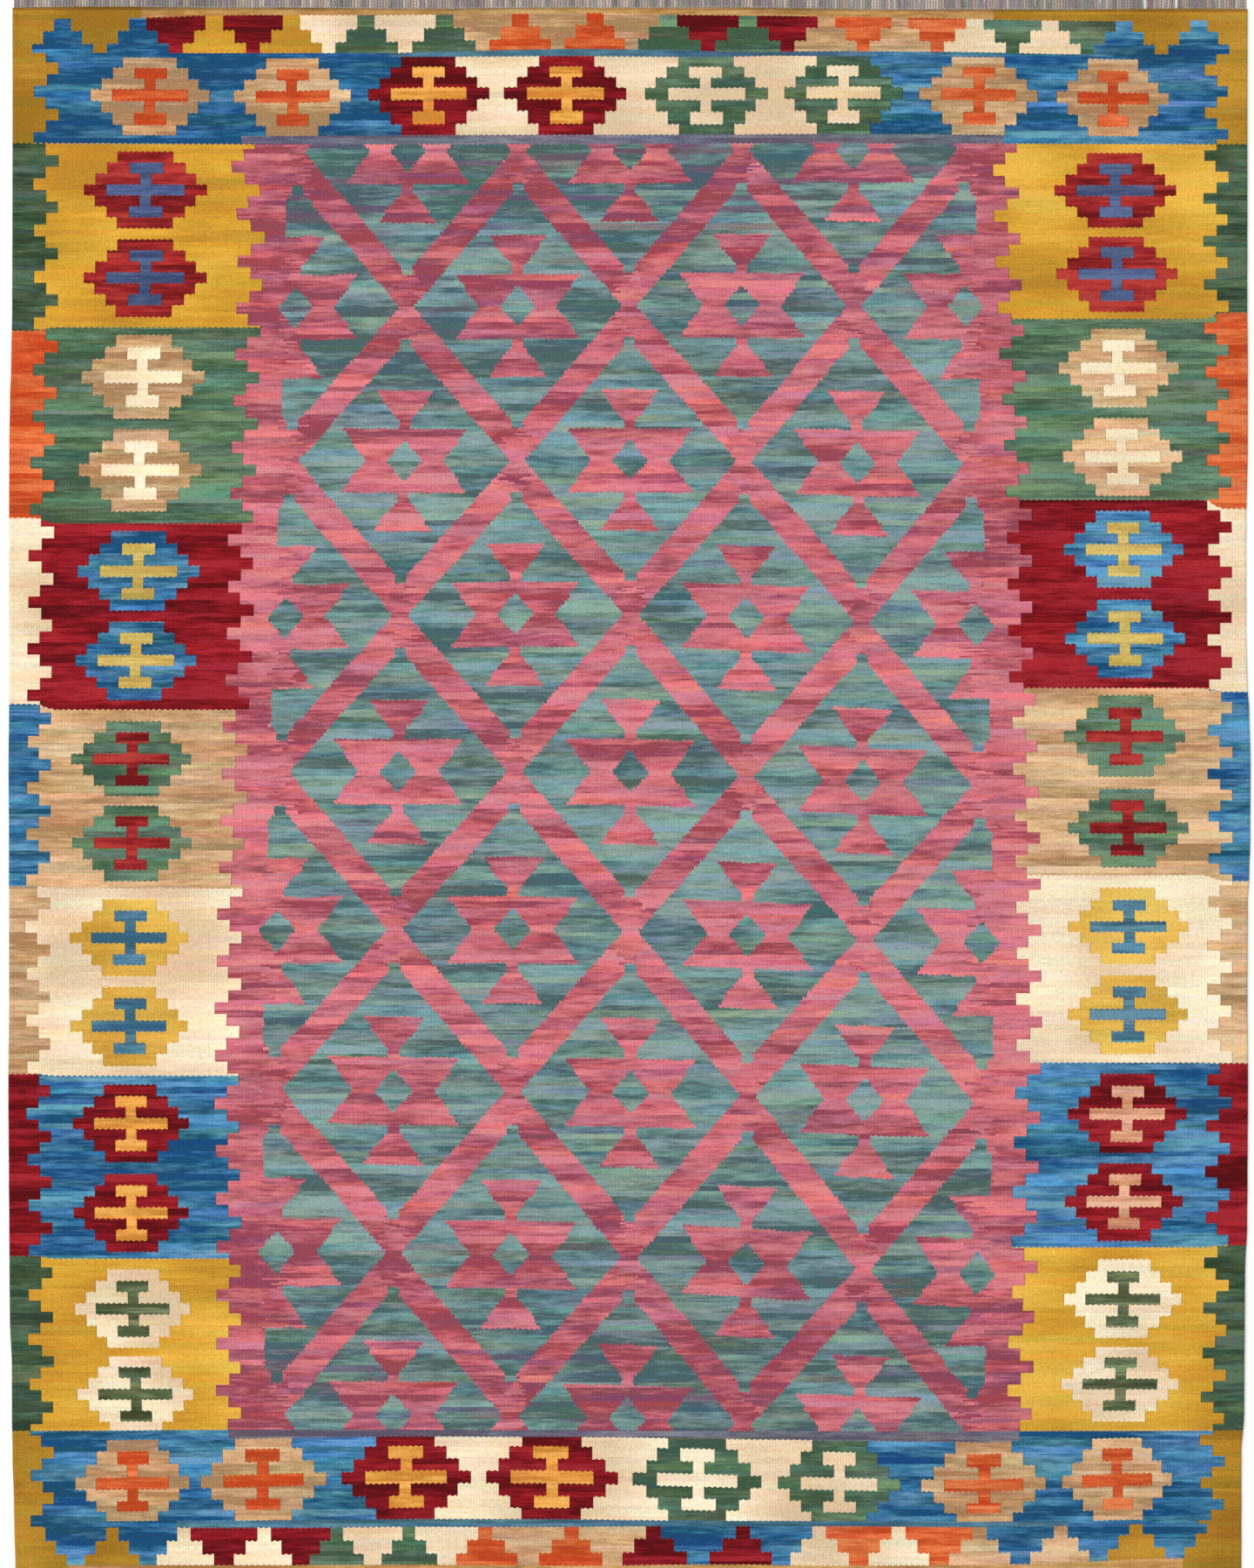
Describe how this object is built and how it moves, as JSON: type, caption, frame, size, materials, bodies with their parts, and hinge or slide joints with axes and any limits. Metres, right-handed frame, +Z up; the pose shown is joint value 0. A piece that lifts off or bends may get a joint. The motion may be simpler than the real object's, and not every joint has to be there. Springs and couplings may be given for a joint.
{
  "type": "kilim rug",
  "caption": "Flat-woven rectangular wool rug lying flat, with stepped geometric patterns, block borders and a warp fringe at each end.",
  "frame": {"origin": "on the surface under the rug, at the middle of its length and width", "axes": "+Y along the warps, towards the end at the top of the picture; +X across the rug, towards the right of the picture; +Z up, out of the face of the rug"},
  "size_m": [1.5036, 1.9925, 0.003],
  "materials": {
    "kilim_wool": "matt weft-faced wool weave with warp ribs",
    "warp_fringe": "matt twisted undyed yarn ends"
  },
  "bodies": {
    "root": {"rug_cloth": "kilim_wool", "fringe_top": "warp_fringe", "fringe_bottom": "warp_fringe"}
  },
  "joints": []
}
